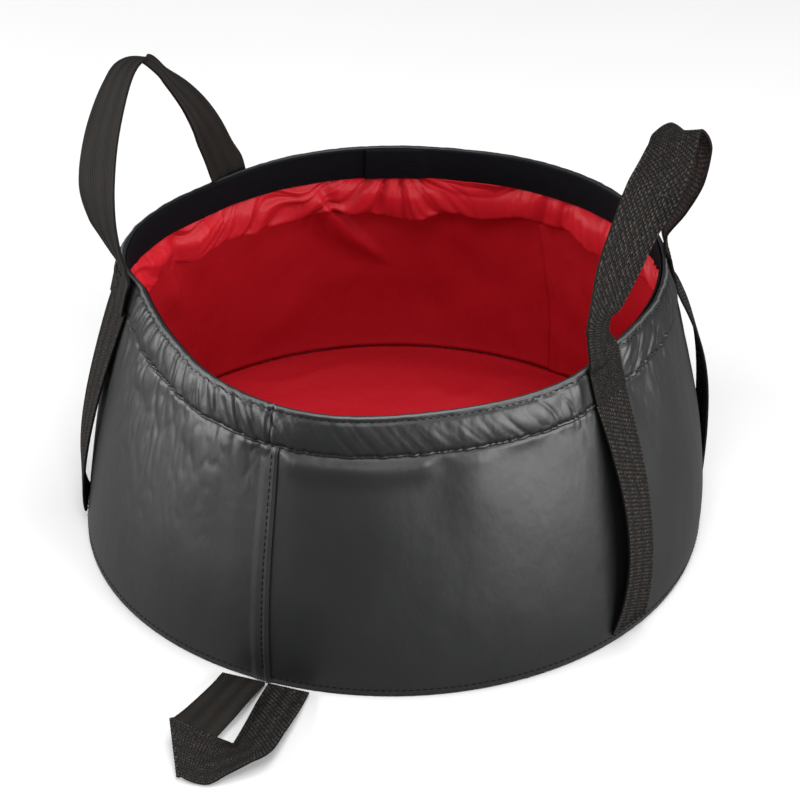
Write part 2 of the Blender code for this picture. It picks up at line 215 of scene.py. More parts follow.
class Bench:
    """One material while its nodes are being wired."""

    def __init__(self, name: str) -> None:
        """Start a material that has only its Principled shader.

        Args:
            name: The material's name.
        """
        self.material = bpy.data.materials.new(name)
        self.material.use_nodes = True
        self.nodes = self.material.node_tree.nodes
        self.links = self.material.node_tree.links
        self.shader = self.nodes["Principled BSDF"]

    def node(self, kind: str, settings: dict | None = None, inputs: dict | None = None) -> bpy.types.Node:
        """Add a node.

        Args:
            kind: The node's type.
            settings: Its own settings, such as a Math node's operation, which are set first.
            inputs: Values or wires for its sockets, by name or number.

        Returns:
            The node.
        """
        made = self.nodes.new(kind)
        for key, value in (settings or {}).items():
            setattr(made, key, value)
        for key, value in (inputs or {}).items():
            self.plug(made.inputs[key], value)
        return made

    def plug(self, socket: bpy.types.NodeSocket, value: Wire | float | Sequence[float]) -> None:
        """Link a wire to a socket, or set the socket's own value."""
        if isinstance(value, Wire):
            self.links.new(value.socket, socket)
        else:
            socket.default_value = value

    def maths(self, operation: str, first: Wire | float, second: Wire | float = 0.0) -> Wire:
        """One Math node's result."""
        made = self.node("ShaderNodeMath", {"operation": operation}, {0: first, 1: second})
        return Wire(self, made.outputs[0])

    def mixed(self, share: Wire, first: Wire | Color, second: Color) -> Wire:
        """Two colours mixed, the second as far as share says."""
        first = first if isinstance(first, Wire) else (*first, 1)
        made = self.node("ShaderNodeMix", {"data_type": "RGBA"}, {0: share, 6: first, 7: (*second, 1)})
        return Wire(self, made.outputs[2])

    def cloth_place(self) -> tuple[Wire, Wire, Wire]:
        """The UV vector of the piece, then its two parts, in metres along and across the cloth."""
        vector = self.node("ShaderNodeUVMap", {"uv_map": "cloth"}).outputs["UV"]
        parts = self.node("ShaderNodeSeparateXYZ", None, {0: Wire(self, vector)})
        return Wire(self, vector), Wire(self, parts.outputs[0]), Wire(self, parts.outputs[1])

    def object_place(self, scale: Point = (1, 1, 1)) -> Wire:
        """The piece's Object coordinates, stretched."""
        place = Wire(self, self.node("ShaderNodeTexCoord").outputs["Object"])
        made = self.node("ShaderNodeMapping", None, {"Vector": place, "Scale": scale})
        return Wire(self, made.outputs[0])

    def cloud(self, vector: Wire, scale: float, detail: float = 3.0, roughness: float = 0.55) -> Wire:
        """Noise from 0 to 1 round 0.5."""
        inputs = {"Vector": vector, "Scale": scale, "Detail": detail, "Roughness": roughness}
        return Wire(self, self.node("ShaderNodeTexNoise", None, inputs).outputs[0])

    def wave(self, value: Wire, period: float) -> Wire:
        """A sine of a length in metres, from -1 to 1."""
        return self.maths("SINE", value * (2 * math.pi / period))

    def bump(self, height: Wire, distance: float) -> None:
        """Raise the surface, by distance in metres where height is 1."""
        made = self.node("ShaderNodeBump", None, {"Height": height, "Distance": distance, "Strength": 1.0})
        self.plug(self.shader.inputs["Normal"], Wire(self, made.outputs[0]))

    def finish(self, **values: Wire | float) -> bpy.types.Material:
        """Set the shader's sockets and return the material.

        Args:
            values: Sockets by name, with _ for a space.

        Returns:
            The material.
        """
        for key, value in values.items():
            self.plug(self.shader.inputs[key.replace("_", " ")], value)
        return self.material


@dataclass(frozen=True)
class CoatedNylon:
    """Plain woven nylon with a coated, slightly waxy face."""

    name: str
    color: Color
    worn: Color
    roughness: float
    gloss: float
    crinkle: float = 0.5 * MM
    yarn: float = 0.55 * MM
    # Where the painted highlight along the crest lies, if the cloth has one, and how wide and how pale it is.
    crest_highlight: float | None = None
    crest_highlight_width: float = 1.3 * MM
    crest_highlight_color: Color = (0.06, 0.061, 0.063)

    def made(self) -> bpy.types.Material:
        """The material, with a pale line painted along an edge where the cloth has one that shows: a painted
        highlight.
        """
        bench = Bench(self.name)
        vector, along, across = bench.cloth_place()
        weave = bench.wave(along, self.yarn) * bench.wave(across, self.yarn)
        patches = bench.cloud(vector, scale=22, detail=4)
        grain = bench.cloud(vector, scale=900, detail=2)
        crumple = bench.cloud(bench.object_place((1, 1, 0.6)), scale=75, roughness=0.5)
        color = bench.mixed((patches * 1.1 + grain * 0.5 - 0.45).clipped(), self.color, self.worn)
        # A pale line painted along the crest of the fold: a painted highlight, not wear.
        if self.crest_highlight is not None:
            near = 1 - bench.maths("ABSOLUTE", across - self.crest_highlight) / self.crest_highlight_width
            color = bench.mixed((near * 1.5 * (grain + 0.4)).clipped(), color, self.crest_highlight_color)
        bench.bump(crumple * self.crinkle / MM + weave * 0.008 + grain * 0.02, MM)
        return bench.finish(
            Base_Color=color,
            Roughness=patches * 0.08 + grain * 0.06 + self.roughness - 0.07,
            Specular_IOR_Level=self.gloss,
        )


class Face(Enum):
    """Which face of the webbing shows."""

    RIBBED = "ribbed"
    TWILL = "twill"


@dataclass(frozen=True)
class Webbing:
    """Woven strap webbing, with ribs along one face and a coarse twill on the other."""

    name: str
    face: Face
    low: Color
    high: Color
    gloss: float
    rib: float = 1.25 * MM
    yarn: float = 2.0 * MM

    def made(self) -> bpy.types.Material:
        """The material, its raised yarns painted lighter and its hollows darker: partly the weave's own
        tones, partly painted highlight and painted shade.
        """
        bench = Bench(self.name)
        vector, along, across = bench.cloth_place()
        column = bench.maths("FLOOR", across / self.rib)
        ridge = bench.maths("ABSOLUTE", bench.wave(across, 2 * self.rib))
        fuzz = bench.cloud(vector, scale=1400, detail=2)
        if self.face is Face.TWILL:
            lumps = bench.cloud(vector, scale=620, detail=2)
            step = bench.maths("SINE", (along / self.yarn + column * 0.37 + lumps * 1.2) * (2 * math.pi))
            height = (step * 0.5 + 0.5) * ridge
            # Raised yarn painted lighter and hollows darker: partly the twill's own grey-brown yarn, partly
            # painted highlight and painted shade.
            share = height * 0.8 + lumps * 1.5 + fuzz * 0.5 - 1.15
            depth = 0.8 * MM
        else:
            uneven = bench.cloud(vector, scale=60)
            step = bench.maths("SINE", (along / (0.45 * self.yarn) + column * 0.5) * (2 * math.pi))
            height = ridge * 0.8 + step * 0.1
            # Ribs painted lighter than the grooves between them: partly the yarn's own tone, partly painted
            # highlight and painted shade.
            share = height * 0.4 + fuzz * 0.45 + uneven * 0.3 - 0.3
            depth = 0.3 * MM
        bench.bump(height + fuzz * 0.2, depth)
        return bench.finish(
            Base_Color=bench.mixed(share.clipped(), self.low, self.high),
            Roughness=fuzz * 0.2 + 0.62,
            Specular_IOR_Level=self.gloss,
        )


@dataclass(frozen=True)
class Plain:
    """A smooth moulded or spun surface with faint mottling."""

    name: str
    color: Color
    roughness: float
    gloss: float = 0.5

    def made(self) -> bpy.types.Material:
        """The material."""
        bench = Bench(self.name)
        mottle = bench.cloud(bench.object_place(), scale=180)
        lighter = tuple(part * 1.25 for part in self.color)
        bench.bump(mottle, 0.05 * MM)
        return bench.finish(
            Base_Color=bench.mixed(mottle, self.color, lighter),
            Roughness=mottle * 0.15 + self.roughness - 0.07,
            Specular_IOR_Level=self.gloss,
        )


class Closet:
    """Every finish of the basin, made once."""

    def __init__(self) -> None:
        """Make the finishes."""
        grey, worn = (0.0048, 0.005, 0.0052), (0.008, 0.0082, 0.0086)
        red, pale_red = (0.37, 0.005, 0.011), (0.44, 0.011, 0.02)
        # The webbing's lighter tones, black_ribs, yarn and ribs, are partly the yarn's own colour and partly
        # a painted highlight on raised yarn.
        black, black_ribs = (0.001, 0.0015, 0.002), (0.006, 0.008, 0.011)
        strap, yarn, ribs = (0.002, 0.0017, 0.0014), (0.047, 0.039, 0.034), (0.026, 0.022, 0.019)
        self.outer = CoatedNylon("coated grey nylon", grey, worn, roughness=0.44, gloss=0.38).made()
        # The casing's crest carries a painted highlight, a pale line along the cloth.
        self.casing = CoatedNylon(
            "gathered grey nylon", grey, worn, roughness=0.39, gloss=0.31, crinkle=1.0 * MM, crest_highlight=29.6 * MM
        ).made()
        self.lining = CoatedNylon(
            "red lining nylon", red, pale_red, roughness=0.5, gloss=0.22, crinkle=0.9 * MM
        ).made()
        self.band = Webbing("black rim webbing", Face.RIBBED, black, black_ribs, gloss=0.05).made()
        self.twill = Webbing("strap webbing, twill face", Face.TWILL, strap, yarn, gloss=0.12).made()
        self.ribbed = Webbing("strap webbing, ribbed face", Face.RIBBED, strap, ribs, gloss=0.1).made()
        self.thread = Plain("black sewing thread", (0.003, 0.003, 0.0035), roughness=0.7, gloss=0.06).made()
        self.tape = Plain("seam tape", (0.35, 0.35, 0.36), roughness=0.4).made()
        self.plastic = Plain("hoop plastic", (0.6, 0.6, 0.58), roughness=0.45).made()


@dataclass
class Seamstress:
    """Makes pieces of cloth and webbing out of a flat grid, and rows of stitches."""

    stitch_length: float = 2.4 * MM
    stitch_gap: float = 0.9 * MM
    thread_radius: float = 0.26 * MM

    def cloth(
        self,
        name: str,
        grid: tuple[int, int],
        place: Place,
        flat: tuple[float, float],
        thickness: float,
        materials: Sequence[bpy.types.Material],
        joined: bool = False,
        soft_edge: float = 0.0,
    ) -> bpy.types.Object:
        """A flat grid, moved point by point to where the cloth lies, and then given its thickness.

        Args:
            name: The piece's name.
            grid: How many faces there are along and across.
            place: Gives the point for a share along and a share across, both from 0 to 1.
            flat: The cloth's length and width in metres, for its pattern.
            thickness: Metres, half to each side.
            materials: The face's material, and the back's where it differs.
            joined: Whether the far end meets the near one.
            soft_edge: How far the edges are rounded.

        Returns:
            The piece.
        """
        shape = bmesh.new()
        bmesh.ops.create_grid(shape, x_segments=grid[0], y_segments=grid[1], size=0.5)
        pattern = shape.loops.layers.uv.new("cloth")
        for face in shape.faces:
            for corner in face.loops:
                at = corner.vert.co
                corner[pattern].uv = ((at.x + 0.5) * flat[0], (at.y + 0.5) * flat[1])
        for vert in shape.verts:
            vert.co = place(vert.co.x + 0.5, vert.co.y + 0.5)
        if joined:
            bmesh.ops.remove_doubles(shape, verts=shape.verts, dist=0.002 * MM)
        piece = self._piece(name, shape, materials)
        body = piece.modifiers.new("thickness", "SOLIDIFY")
        body.thickness = thickness
        body.offset = 0
        body.material_offset = len(materials) - 1
        if soft_edge:
            edge = piece.modifiers.new("soft edge", "BEVEL")
            edge.width = soft_edge
            edge.segments = 2
            edge.limit_method = "ANGLE"
            edge.angle_limit = math.radians(55)
        return piece

    def _piece(
        self, name: str, shape: bmesh.types.BMesh, materials: Sequence[bpy.types.Material]
    ) -> bpy.types.Object:
        """An object that holds a finished bmesh, smooth shaded."""
        mesh = bpy.data.meshes.new(name)
        shape.to_mesh(mesh)
        shape.free()
        mesh.shade_smooth()
        for material in materials:
            mesh.materials.append(material)
        piece = bpy.data.objects.new(name, mesh)
        bpy.context.scene.collection.objects.link(piece)
        return piece

    def disc(
        self,
        name: str,
        grid: tuple[int, int],
        radius: float,
        level: Callable[[float, float, float], float],
        thickness: float,
        material: bpy.types.Material,
    ) -> bpy.types.Object:
        """A round bottom panel.

        Args:
            name: The piece's name.
            grid: How many faces there are round it and from its middle out.
            radius: Metres.
            level: Gives the height for x and y, and a share of the way out.
            thickness: Metres.
            material: Its finish.

        Returns:
            The piece.
        """

        def place(along: float, out: float) -> Vector:
            """A point of the disc."""
            at = polar(radius, 360 * along) * out
            return Vector((at.x, at.y, level(at.x, at.y, out)))

        flat = (2 * radius, 2 * radius)
        return self.cloth(name, grid, place, flat, thickness, [material], joined=True)

    def stitches(
        self, name: str, lines: Sequence[Sequence[Vector]], thread: bpy.types.Material
    ) -> bpy.types.Object:
        """Stitches laid end to end along lines.

        Args:
            name: The piece's name.
            lines: Each line's points, close together.
            thread: The material.

        Returns:
            One piece with every stitch of the lines.
        """
        shape = bmesh.new()
        for line in lines:
            self._sew(shape, line)
        return self._piece(name, shape, [thread])

    def _sew(self, shape: bmesh.types.BMesh, line: Sequence[Vector]) -> None:
        """Lay one line's stitches."""
        lengths = measured(line)
        pitch = self.stitch_length + self.stitch_gap
        count = int(lengths[-1] / pitch)
        index = 0
        for number in range(count):
            middle = (number + 0.5) * lengths[-1] / count
            while lengths[index + 1] < middle:
                index += 1
            share = (middle - lengths[index]) / (lengths[index + 1] - lengths[index])
            at = line[index].lerp(line[index + 1], share)
            along = (line[index + 1] - line[index]).normalized()
            lie = along.to_track_quat("Z", "Y").to_matrix().to_4x4()
            size = Matrix.Diagonal((self.thread_radius, self.thread_radius, self.stitch_length / 2, 1))
            matrix = Matrix.Translation(at) @ lie @ size
            bmesh.ops.create_uvsphere(shape, u_segments=6, v_segments=5, radius=1, matrix=matrix)


@dataclass
class Bowl:
    """The shape that every layer of the basin follows."""

    base_radius: float = 155 * MM
    rim_height: float = 143 * MM
    taper: float = 1.35
    bulge: float = 5.5 * MM
    bulge_height: float = 0.75
    slack_side: float = 200
    slack_spread: float = 32
    slack_share: float = 1.05
    fold_depth: float = 1.1 * MM
    foot_pleats: int = 208
    crimp_depth: float = 0.4 * MM
    gather_depth: float = 2.1 * MM
    dents: Sequence[tuple[float, float, float, float]] = (
        (0.7 * MM, 4.2, 13, 7.7), (0.25 * MM, 11, 30, 1.9), (0.3 * MM, 2, 34, 6.6),
    )
    sag_depth: float = 2.0 * MM
    sag_span: tuple[float, float] = (-87, -64)
    casing_height: float = 18 * MM
    casing_depth: float = 2.8 * MM
    band_height: float = 20.3 * MM
    band_thickness: float = 1.2 * MM
    fabric: float = 0.6 * MM
    lining: float = 0.5 * MM
    tape: float = 0.3 * MM
    gap: float = 0.3 * MM
    travel: float = 112 * MM
    plan: Table = (
        (-150, 122.5), (-128, 122.5), (-104, 131.5), (-84, 136), (-60, 131.5), (-32, 131.3), (-12, 127),
        (8, 131.6), (34, 136.5), (58, 136), (76, 131.5), (94, 126), (112, 124.5), (146, 125.2),
        (160, 126.5), (174, 131.5), (186, 134.5), (198, 132.5),
    )
    straps: Sequence[float] = (202, 152, -20, 29)
    strap_half_angle: float = 6.2
    gathered: Table = (
        (-178, 0.7), (-152, 0.8), (-130, 0.85), (-112, 0.9), (-101, 1.0), (-93, 0.6), (-86, 0.35),
        (-60, 0.3), (-46, 0.35), (-38, 0.65), (-30, 1.25), (-20, 1.2), (-10, 1.1), (6, 0.9), (40, 0.8),
        (80, 0.7), (120, 0.8), (150, 0.9),
    )
    gathers_reach: Table = (
        (-172, 30), (-150, 42), (-125, 40), (-108, 24), (-97, 10), (-86, 6), (-40, 4), (-28, 9), (-8, 12),
        (20, 20), (90, 25), (150, 30),
    )
    radii: dict[float, float] = field(default_factory=dict)

    @property
    def stitch_height(self) -> float:
        """The height of the stitches that close the casing."""
        return self.rim_height - self.casing_height

    @property
    def lining_depth(self) -> float:
        """How far the lining's outer face lies inside the outer wall's."""
        return self.fabric + self.tape + 2 * self.gap

    def gathering(self, azimuth: float) -> float:
        """How strongly the cloth is gathered at the rim, from 0 to about 1.25."""
        return max(around(azimuth, self.gathered), 0.0)

    def rim_radius(self, azimuth: float) -> float:
        """Radius of the rim's outer edge."""
        key = round(azimuth % 360, 4)
        if key not in self.radii:
            self.radii[key] = around(azimuth, self.plan) * MM
        return self.radii[key]

    def hold(self, azimuth: float) -> float:
        """0 under the straps, whose stitches hold the cloth flat, and 1 away from them."""
        nearest = min(turned_apart(azimuth, strap) for strap in self.straps)
        return smoothstep((nearest - self.strap_half_angle) / 4)

    def wall_radius(self, azimuth: float, height: float) -> float:
        """Radius of the outer wall's face where nothing has creased it."""
        level = min(max(height / self.rim_height, 0.0), 1.0)
        taper = (self.rim_radius(azimuth) - self.base_radius) * level**self.taper
        slack = self.slack_share * bell(turned_apart(azimuth, self.slack_side), self.slack_spread)
        bulge = self.bulge * (1 - slack) * math.sin(math.pi * level**self.bulge_height) * (1 - level) ** 0.2
        angle = math.radians(azimuth)
        wave = 0.6 * math.sin(13 * angle + 0.7) + 0.4 * math.sin(21 * angle + 2.1)
        shown = smoothstep((level - 0.45) / 0.35) * (1 - smoothstep((level - 0.82) / 0.05))
        return self.base_radius + taper + bulge + self.fold_depth * wave * shown

    def relief(self, azimuth: float, height: float) -> float:
        """How far the creases of the outer cloth stand out, below the casing.

        Args:
            azimuth: Degrees.
            height: Metres.

        Returns:
            Metres, outwards.
        """
        below = self.stitch_height - height
        # The gathers of the rim, which hang down from its stitches and fade.
        reach = max(around(azimuth, self.gathers_reach), 3.0) * MM * (1 + 0.7 * drift(azimuth, 0, 9, 0, 3.1))
        ripple = 0.5 * puckers(azimuth, height, 13, 26, 0.4) + 0.5 * puckers(azimuth, height, 28, 75, 4.1)
        hanging = (ripple - 0.5) * self.gather_depth * self.gathering(azimuth)
        hanging *= math.exp(-max(below, 0) / reach)
        hanging *= 0.35 + 0.65 * smoothstep(below / (3 * MM))
        # Slow dents all over the wall.
        soft = sum(depth * drift(azimuth, height, *pattern) for depth, *pattern in self.dents)
        soft *= smoothstep(height / (40 * MM)) * smoothstep(below / (10 * MM))
        # Small pleats where the base seam draws the cloth in.
        phase = azimuth * self.foot_pleats / 360 + drift(azimuth, height, 20, 60, 5.5)
        crimp = self.crimp_depth * (pleats(phase) - 0.5)
        crimp *= math.exp(-height / (5 * MM)) * (0.45 + drift(azimuth, 0, 5, 0, 9.1))
        creased = hanging + soft + crimp + self.sagging(azimuth, below)
        return min(creased, 0.0) + max(creased, 0.0) * self.hold(azimuth)

    def sagging(self, azimuth: float, below: float) -> float:
        """How far the fold stands out that hangs just below the stitches at the front, right of its seam.

        Args:
            azimuth: Degrees.
            below: Metres below the stitches.

        Returns:
            Metres, outwards.
        """
        shown = window(azimuth, *self.sag_span, 5)
        if not shown:
            return 0.0
        crest = (5.2 + 1.6 * math.sin((azimuth + 88) / 9)) * MM
        side = 3.0 * MM if below < crest else 6.5 * MM
        return self.sag_depth * shown * bell(below - crest, side)

    def point(self, azimuth: float, height: float, stand_off: float) -> Vector:
        """A point at a height, stand_off outside the smooth wall's face."""
        return polar(self.wall_radius(azimuth, height) + stand_off, azimuth, height)

    def squash(self, piece: bpy.types.Object) -> None:
        """Ride a piece on the base, on a mesh of its own."""
        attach(piece, "base")
        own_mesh(piece)


@dataclass
class Assembly:
    """What every sub-assembly works with: the shape, the sewing and the finishes."""

    bowl: Bowl
    hands: Seamstress
    closet: Closet

    @staticmethod
    def stand_in(piece: bpy.types.Object, slot: str, *nodes: str) -> None:
        """Let a piece stand for CAD nodes, by hiding them."""
        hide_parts(*nodes)

    def sewn(self, name: str, lines: Sequence[Sequence[Vector]], slot: str) -> bpy.types.Object:
        """Rows of stitches along lines, in sewing thread."""
        piece = self.hands.stitches(name, lines, self.closet.thread)
        return piece


@dataclass
class OuterShell(Assembly):
    """The grey outer walls and their base."""

    seams: Sequence[tuple[str, str, float]] = (
        ("outer_wall_left", "front_seam_thread", 87),
        ("outer_wall_right", "rear_seam_thread", -93),
    )
    seam_allowance: float = 8 * MM
    hem_allowance: float = 12 * MM
    lap_angle: float = 2.0
    seam_angle: float = 6.0
    seam_columns: float = 0.12
    stitch_angle: float = 180.7
    bead: float = 0.75 * MM
    bead_angle: float = 181.45
    tuck: float = 0.9 * MM
    pull_depth: float = 0.35 * MM
    pull_pitch: float = 4.6 * MM
    base_stitch_height: float = 4.2 * MM
    columns: int = 480
    rows: int = 72

    def lap(self, turned: float, height: float) -> float:
        """How far the cloth steps out over the other half, turned degrees past its own seam."""
        step = (self.bowl.fabric + self.bowl.gap) * smoothstep((turned - 178.2) / 1.5)
        phase = height / self.pull_pitch + drift(turned, height, 1, 40, 2.9)
        pull = self.pull_depth * (pleats(phase) - 0.6)
        pull *= math.exp(-height / (26 * MM)) * window(turned, 176.5, 180.5, 2)
        return step + self.bead * bell(turned - self.bead_angle, 0.34) + pull

    def height_at(self, share: float) -> float:
        """The height at a share of the rows, which are close together near the casing."""
        low = self.bowl.fabric + self.bowl.gap
        top = self.bowl.stitch_height - self.bowl.gap
        return low + (top - low) * (1 - (1 - share) ** 1.35)

    def turned_at(self, share: float) -> float:
        """The angle past the seam at a share of the columns, which are close together at the lap."""
        wide = 180 + self.lap_angle - self.seam_angle
        if share < 1 - self.seam_columns:
            return wide * share / (1 - self.seam_columns)
        return wide + self.seam_angle * (share - 1 + self.seam_columns) / self.seam_columns

    def wall(self, name: str, seam: float) -> bpy.types.Object:
        """One half of the wall, its last columns lapped over the other half's first."""
        bowl = self.bowl

        def place(along: float, up: float) -> Vector:
            """A point of the wall."""
            turned = self.turned_at(along)
            azimuth = seam + turned
            height = self.height_at(up)
            tucked = self.tuck * smoothstep((height - bowl.stitch_height + 2.6 * MM) / (1.6 * MM))
            stand_off = bowl.relief(azimuth, height) + self.lap(turned, height) - bowl.fabric / 2 - tucked
            return bowl.point(azimuth, height, stand_off)

        flat = (math.pi * bowl.base_radius + self.seam_allowance, bowl.stitch_height + self.hem_allowance)
        grid = (self.columns, self.rows)
        piece = self.hands.cloth(f"{name}_cloth", grid, place, flat, bowl.fabric, [self.closet.outer])
        self.stand_in(piece, "outer_fabric", name)
        bowl.squash(piece)
        return piece

    def base(self) -> bpy.types.Object:
        """The round bottom, which lies flat on the ground."""
        radius, thickness = self.bowl.base_radius, self.bowl.fabric

        def level(x: float, y: float, out: float) -> float:
            """Flat on the ground."""
            return thickness / 2

        piece = self.hands.disc("outer_base_cloth", (120, 30), radius, level, thickness, self.closet.outer)
        self.stand_in(piece, "outer_fabric", "outer_base")
        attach(piece, "base")
        return piece

    def threads(self) -> list[bpy.types.Object]:
        """The topstitching along the base seam and beside both wall seams."""
        bowl = self.bowl
        proud = self.hands.thread_radius * 0.4
        low = self.base_stitch_height
        laps = [seam + self.lap_angle / 2 for _, _, seam in self.seams]
        around_base = [
            bowl.point(at, low, bowl.relief(at, low) + proud)
            for at in (i / 2 for i in range(721))
            if all(turned_apart(at, lap) > 1.8 for lap in laps)
        ]
        pieces = [self.sewn("base_seam_thread", [around_base], "outer_fabric")]
        for _, name, seam in self.seams:
            azimuth = seam + self.stitch_angle
            line = []
            for i in range(60):
                height = (9 + 112 * i / 59) * MM
                off = bowl.relief(azimuth, height) + self.lap(self.stitch_angle, height) + proud
                line.append(bowl.point(azimuth, height, off))
            pieces.append(self.sewn(name, [line], "outer_fabric"))
        for piece in pieces:
            bowl.squash(piece)
        return pieces

    def build(self) -> list[bpy.types.Object]:
        """Make every piece of the outer shell."""
        pieces = [self.base()]
        pieces += [self.wall(name, seam) for name, _, seam in reversed(self.seams)]
        return [*pieces, *self.threads()]


@dataclass
class Lining(Assembly):
    """The red inner layer and the tapes that seal its seams."""

    seams: Sequence[tuple[str, str, float]] = (
        ("lining_wall_right", "lining_front_seam_tape", -105),
        ("lining_wall_left", "lining_rear_seam_tape", 75),
    )
    lap_angle: float = 2
    tape_width: float = 9 * MM
    tape_half_angle: float = 4
    tape_heights: tuple[float, float] = (12 * MM, 117 * MM)
    ring_start: float = -93
    seam_allowance: float = 8 * MM
    hem_allowance: float = 12 * MM
    creases: Sequence[Point] = (
        (169, 4.5, 0.95), (127.5, 4.5, 0.95), (75, 8, 0.5), (40, 7, 0.6), (8, 7, 0.7), (-30, 6, 0.6),
        (-62, 8, 0.5), (-105, 7, 0.7), (-140, 7, 0.6),
    )
    long_folds: Sequence[Point] = ((130, 112, 5 * MM), (171, 160, 4.5 * MM))
    flap: float = 9 * MM
    sag: float = 7.5 * MM
    band_slack: float = 1.4 * MM
    slant: float = 2600
    crease_depth: float = 3.4 * MM
    fine_depth: float = 1.3 * MM
    columns: int = 455
    rows: int = 96

    def fullness(self, azimuth: float) -> float:
        """How full the flap below the rim's band is, from 0 where it is pinched to about 1."""
        angle = math.radians(azimuth)
        waves = 0.5 * math.sin(7 * angle + 0.4) + 0.3 * math.sin(17 * angle + 2.6)
        waves += 0.2 * math.sin(3 * angle + 1)
        closed = max(share * bell(turned_apart(azimuth, at), width) for at, width, share in self.creases)
        return (0.75 + 0.25 * waves) * (1 - closed)

    def slack(self, azimuth: float, height: float) -> float:
        """How far the lining hangs inwards.

        Args:
            azimuth: Degrees.
            height: Metres.

        Returns:
            Metres, inwards.
        """
        top = self.bowl.rim_height - self.bowl.band_height
        low = self.fold_height(azimuth)
        at_band = self.band_slack * smoothstep((height / MM - 90) / 30)
        # The full flap that hangs from the band down to its fold.
        hanging = smoothstep((height - low + 5 * MM) / (6 * MM))
        hanging *= 1 - smoothstep((height - low) / (top - low)) ** 1.4
        # The creases in the flap, which run at a slant.
        hem = window(height, low - 2 * MM, top, 8 * MM)
        slanted = azimuth + self.slant * drift(azimuth, 0, 2.2, 0, 1.7) * (height - low)
        fine = (puckers(slanted, height, 6.5, 30, 8.8) - 0.5) * self.crease_depth * hem
        fine += (puckers(slanted, height, 17, 45, 3.8) - 0.5) * self.fine_depth * hem
        # Slow dents in the cloth below it.
        under = smoothstep((top - height) / (12 * MM)) * smoothstep(height / (25 * MM))
        dents = 1.3 * drift(azimuth, height, 9, 40, 6.1) + 1.5 * drift(azimuth, height, 4, 16, 1.3) + 0.8
        draped = self.draped(azimuth, height) * smoothstep((top - height) / (10 * MM))
        full = self.flap * self.fullness(azimuth) * hanging
        return max(at_band + full + fine + dents * MM * under + draped, 0.15 * MM)

    def draped(self, azimuth: float, height: float) -> float:
        """How far the long folds stand inwards that run down from the two deepest creases, in metres."""
        total = 0.0
        for start, end, depth in self.long_folds:
            down = (118 * MM - height) / (60 * MM)
            side = (azimuth - start - (end - start) * down + 180) % 360 - 180
            total += depth * bell(side, 1.6 if side < 0 else 5.0) * window(down, 0, 0.6, 0.5)
        return total

    def fold_height(self, azimuth: float) -> float:
        """The height of the flap's lower fold."""
        return (108 + 5 * drift(azimuth, 0, 6, 0, 4.4) - 3 * self.fullness(azimuth)) * MM

    def sunk_by(self, azimuth: float, height: float) -> float:
        """How far the cloth at a height sinks, so that the flap's fold hangs over the cloth below it."""
        low = self.fold_height(azimuth)
        return self.sag * self.fullness(azimuth) * window(height, low - 0.5 * MM, low + 2 * MM, 7 * MM)

    def wall(self, name: str, seam: float) -> bpy.types.Object:
        """One half of the lining's wall."""
        bowl = self.bowl
        low = bowl.fabric + bowl.tape + bowl.lining + 3 * bowl.gap
        top = bowl.rim_height - bowl.band_height - 2 * bowl.gap

        def place(along: float, up: float) -> Vector:
            """A point of the wall, whose rows are close together near the band."""
            turned = (180 + self.lap_angle) * along
            azimuth = seam + turned
            height = low + (top - low) * (1 - (1 - up) ** 1.7)
            lap = (bowl.lining + 1.3 * bowl.gap) * smoothstep((turned - 178) / 1.6)
            depth = bowl.lining_depth + bowl.lining / 2 + self.slack(azimuth, height) + lap
            height -= self.sunk_by(azimuth, height)
            return bowl.point(azimuth, height, min(bowl.relief(azimuth, height), 0.0) - depth)

        length = math.pi * (bowl.base_radius - bowl.lining_depth) + self.seam_allowance
        flat = (length, top + self.hem_allowance)
        grid = (self.columns, self.rows)
        piece = self.hands.cloth(f"{name}_cloth", grid, place, flat, bowl.lining, [self.closet.lining])
        self.stand_in(piece, "lining_fabric", name)
        bowl.squash(piece)
        return piece

    def base(self) -> bpy.types.Object:
        """The lining's bottom, which lies slightly rumpled."""
        bowl = self.bowl
        radius = bowl.base_radius - bowl.lining_depth
        low = bowl.fabric + bowl.tape + 2 * bowl.gap + bowl.lining / 2

        def level(x: float, y: float, out: float) -> float:
            """Low ridges and swells, which fade at the seam."""
            inside = smoothstep((1 - out) * 6)
            rumple = 1 - abs(noise.noise(Vector((x * 17, y * 17, 3.7)))) * 2.2
            swell = noise.noise(Vector((x * 9, y * 9, 8.2))) + 0.4
            return low + inside * (max(rumple, 0) ** 3 * 1.2 + max(swell, 0) * 2.2) * MM

        piece = self.hands.disc(
            "lining_base_cloth", (240, 90), radius, level, bowl.lining, self.closet.lining
        )
        self.stand_in(piece, "lining_fabric", "lining_base")
        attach(piece, "base")
        flat = (2 * radius, 2 * radius)
        math.pi * radius**2
        return piece

    def tape(
        self, name: str, azimuths: tuple[float, float], heights: tuple[float, float]
    ) -> bpy.types.Object:
        """A seam tape between the two layers.

        Args:
            name: The node that it stands for.
            azimuths: Where it starts and ends, in degrees.
            heights: Its lower and upper edge, in metres.

        Returns:
            The piece.
        """
        bowl = self.bowl
        middle = bowl.fabric + bowl.gap + bowl.tape / 2
        start, end = azimuths
        low, high = heights
        whole = end - start == 360

        def place(along: float, up: float) -> Vector:
            """A point of the tape, close to the outer wall."""
            azimuth = start + (end - start) * along
            height = low + (high - low) * up
            return bowl.point(azimuth, height, min(bowl.relief(azimuth, height), 0.0) - middle)

        grid = (240, 4) if whole else (6, 60)
        flat = (math.radians(end - start) * bowl.base_radius, high - low)
        piece = self.hands.cloth(
            f"{name}_strip", grid, place, flat, bowl.tape, [self.closet.tape], joined=whole
        )
        self.stand_in(piece, "seam_tape", name)
        bowl.squash(piece)
        return piece

